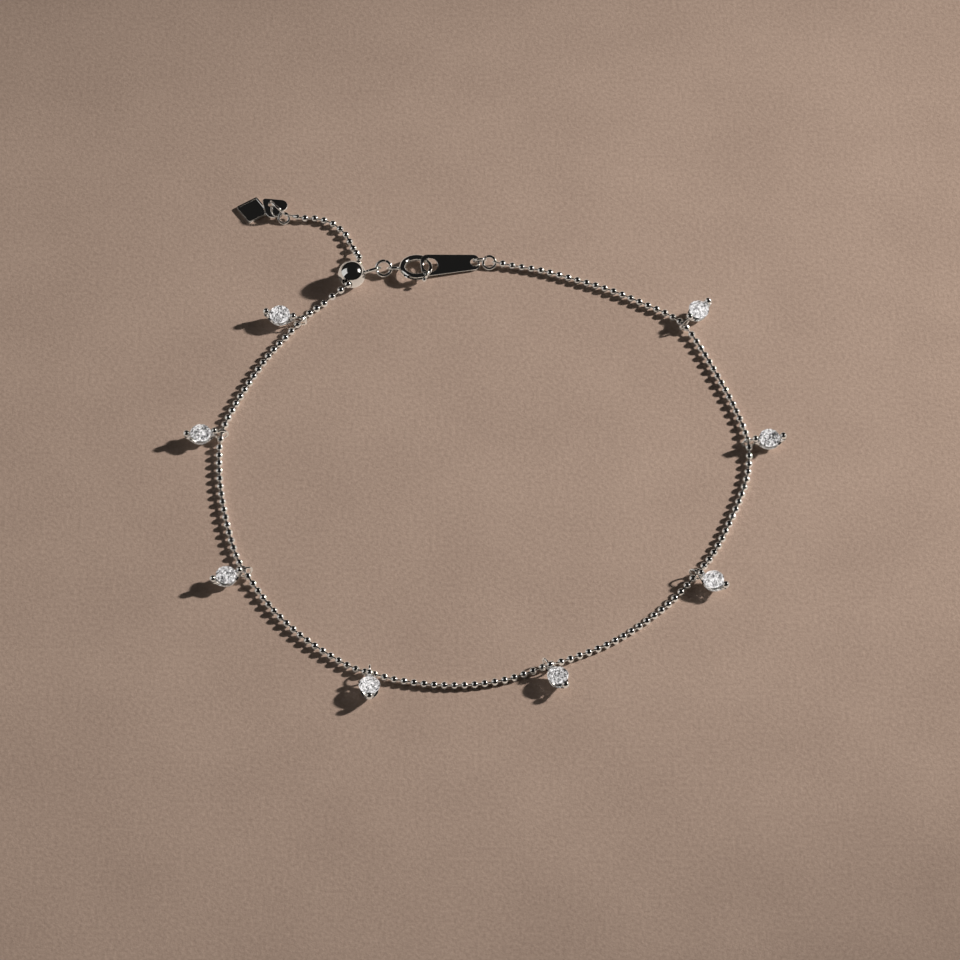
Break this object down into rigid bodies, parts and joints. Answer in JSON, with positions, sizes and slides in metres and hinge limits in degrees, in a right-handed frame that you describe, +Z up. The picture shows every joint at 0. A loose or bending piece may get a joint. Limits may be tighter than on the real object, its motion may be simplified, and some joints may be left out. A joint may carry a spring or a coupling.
{
  "type": "anklet",
  "caption": "Fine bead-chain anklet in polished white metal with clear-stone drops, a sliding ball, a spring-ring clasp and a short tail with heart and square tags.",
  "frame": {"origin": "on the surface, under the centre of the whole loop with its drops and tail", "axes": "+Z up from the surface; the clasp and the loose tail are at +Y; +X to the right seen from above with the clasp at the far side"},
  "size_m": [0.0886, 0.0956, 0.0041],
  "materials": {
    "polished_metal": "mirror polished",
    "clear_stone": "cut and polished"
  },
  "bodies": {
    "anklet": {"chain": "polished_metal", "slider_ball": "polished_metal", "clasp_jump_ring": "polished_metal", "spring_ring": "polished_metal", "clasp_plate": "polished_metal", "plate_ring": "polished_metal", "end_ring": "polished_metal", "tail_ring": "polished_metal", "heart_ring": "polished_metal", "heart_tag": "polished_metal", "square_tag": "polished_metal", "setting_1": "polished_metal", "setting_2": "polished_metal", "setting_3": "polished_metal", "setting_4": "polished_metal", "setting_5": "polished_metal", "setting_6": "polished_metal", "setting_7": "polished_metal", "setting_8": "polished_metal", "stone_1": "clear_stone", "stone_2": "clear_stone", "stone_3": "clear_stone", "stone_4": "clear_stone", "stone_5": "clear_stone", "stone_6": "clear_stone", "stone_7": "clear_stone", "stone_8": "clear_stone"},
    "clasp_bolt": {"clasp_bolt": "polished_metal"}
  },
  "joints": [
    {"name": "clasp_bolt_slide", "type": "hinge", "parent": "anklet", "child": "clasp_bolt", "pos_m": [-0.01022, 0.0335, 0.00106], "axis": [0, 0.1392, 0.9903], "range_deg": [-65, 0], "stiffness_Nm_per_rad": 0.0005}
  ]
}
